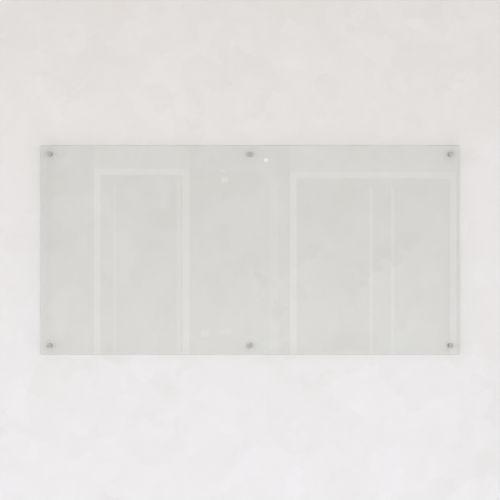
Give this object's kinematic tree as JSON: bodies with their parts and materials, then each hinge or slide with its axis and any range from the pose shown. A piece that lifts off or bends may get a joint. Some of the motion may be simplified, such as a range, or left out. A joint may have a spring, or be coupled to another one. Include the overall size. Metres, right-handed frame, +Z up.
{
  "type": "sneeze guard",
  "caption": "Clear glass splash screen held off a wall by round metal standoffs with caps that unscrew.",
  "frame": {"origin": "on the wall's surface, at the centre of the six fixings", "axes": "+X along the panel, +Z up, +Y into the wall, so the panel's front faces -Y"},
  "size_m": [1.2192, 0.0547, 0.6096],
  "materials": {
    "panel_glass": "clear toughened glass, finely ground bevelled edges",
    "satin_steel": "satin turned stainless steel",
    "zinc_steel": "bright zinc-plated steel",
    "plug_nylon": "moulded grey nylon",
    "clear_vinyl": "soft clear vinyl",
    "clear_nylon": "translucent nylon"
  },
  "bodies": {
    "root": {"panel": "panel_glass", "wall_plug_top_left": "plug_nylon", "wall_plug_top_middle": "plug_nylon", "wall_plug_top_right": "plug_nylon", "wall_plug_bottom_left": "plug_nylon", "wall_plug_bottom_middle": "plug_nylon", "wall_plug_bottom_right": "plug_nylon", "wall_screw_top_left": "zinc_steel", "wall_screw_top_middle": "zinc_steel", "wall_screw_top_right": "zinc_steel", "wall_screw_bottom_left": "zinc_steel", "wall_screw_bottom_middle": "zinc_steel", "wall_screw_bottom_right": "zinc_steel", "barrel_top_left": "satin_steel", "barrel_top_middle": "satin_steel", "barrel_top_right": "satin_steel", "barrel_bottom_left": "satin_steel", "barrel_bottom_middle": "satin_steel", "barrel_bottom_right": "satin_steel", "rear_gasket_top_left": "clear_vinyl", "rear_gasket_top_middle": "clear_vinyl", "rear_gasket_top_right": "clear_vinyl", "rear_gasket_bottom_left": "clear_vinyl", "rear_gasket_bottom_middle": "clear_vinyl", "rear_gasket_bottom_right": "clear_vinyl", "sleeve_top_left": "clear_nylon", "sleeve_top_middle": "clear_nylon", "sleeve_top_right": "clear_nylon", "sleeve_bottom_left": "clear_nylon", "sleeve_bottom_middle": "clear_nylon", "sleeve_bottom_right": "clear_nylon"},
    "front_gasket_top_left": {"front_gasket_top_left": "clear_vinyl"},
    "cap_top_left": {"cap_top_left": "satin_steel"},
    "front_gasket_top_middle": {"front_gasket_top_middle": "clear_vinyl"},
    "cap_top_middle": {"cap_top_middle": "satin_steel"},
    "front_gasket_top_right": {"front_gasket_top_right": "clear_vinyl"},
    "cap_top_right": {"cap_top_right": "satin_steel"},
    "front_gasket_bottom_left": {"front_gasket_bottom_left": "clear_vinyl"},
    "cap_bottom_left": {"cap_bottom_left": "satin_steel"},
    "front_gasket_bottom_middle": {"front_gasket_bottom_middle": "clear_vinyl"},
    "cap_bottom_middle": {"cap_bottom_middle": "satin_steel"},
    "front_gasket_bottom_right": {"front_gasket_bottom_right": "clear_vinyl"},
    "cap_bottom_right": {"cap_bottom_right": "satin_steel"}
  },
  "joints": [
    {"name": "travel_top_left", "type": "slide", "parent": "root", "child": "front_gasket_top_left", "axis": [0, -1, 0], "range_m": [0, 0.008]},
    {"name": "turn_top_left", "type": "hinge", "parent": "front_gasket_top_left", "child": "cap_top_left", "pos_m": [-0.5842, 0, 0.2794], "axis": [0, -1, 0], "range_deg": [0, 2880]},
    {"name": "travel_top_middle", "type": "slide", "parent": "root", "child": "front_gasket_top_middle", "axis": [0, -1, 0], "range_m": [0, 0.008]},
    {"name": "turn_top_middle", "type": "hinge", "parent": "front_gasket_top_middle", "child": "cap_top_middle", "pos_m": [0, 0, 0.2794], "axis": [0, -1, 0], "range_deg": [0, 2880]},
    {"name": "travel_top_right", "type": "slide", "parent": "root", "child": "front_gasket_top_right", "axis": [0, -1, 0], "range_m": [0, 0.008]},
    {"name": "turn_top_right", "type": "hinge", "parent": "front_gasket_top_right", "child": "cap_top_right", "pos_m": [0.5842, 0, 0.2794], "axis": [0, -1, 0], "range_deg": [0, 2880]},
    {"name": "travel_bottom_left", "type": "slide", "parent": "root", "child": "front_gasket_bottom_left", "axis": [0, -1, 0], "range_m": [0, 0.008]},
    {"name": "turn_bottom_left", "type": "hinge", "parent": "front_gasket_bottom_left", "child": "cap_bottom_left", "pos_m": [-0.5842, 0, -0.2794], "axis": [0, -1, 0], "range_deg": [0, 2880]},
    {"name": "travel_bottom_middle", "type": "slide", "parent": "root", "child": "front_gasket_bottom_middle", "axis": [0, -1, 0], "range_m": [0, 0.008]},
    {"name": "turn_bottom_middle", "type": "hinge", "parent": "front_gasket_bottom_middle", "child": "cap_bottom_middle", "pos_m": [0, 0, -0.2794], "axis": [0, -1, 0], "range_deg": [0, 2880]},
    {"name": "travel_bottom_right", "type": "slide", "parent": "root", "child": "front_gasket_bottom_right", "axis": [0, -1, 0], "range_m": [0, 0.008]},
    {"name": "turn_bottom_right", "type": "hinge", "parent": "front_gasket_bottom_right", "child": "cap_bottom_right", "pos_m": [0.5842, 0, -0.2794], "axis": [0, -1, 0], "range_deg": [0, 2880]}
  ],
  "couplings": [
    {"joint": "travel_top_left", "follows": "turn_top_left", "m_per_rad": 0.00015915},
    {"joint": "travel_top_middle", "follows": "turn_top_middle", "m_per_rad": 0.00015915},
    {"joint": "travel_top_right", "follows": "turn_top_right", "m_per_rad": 0.00015915},
    {"joint": "travel_bottom_left", "follows": "turn_bottom_left", "m_per_rad": 0.00015915},
    {"joint": "travel_bottom_middle", "follows": "turn_bottom_middle", "m_per_rad": 0.00015915},
    {"joint": "travel_bottom_right", "follows": "turn_bottom_right", "m_per_rad": 0.00015915}
  ]
}
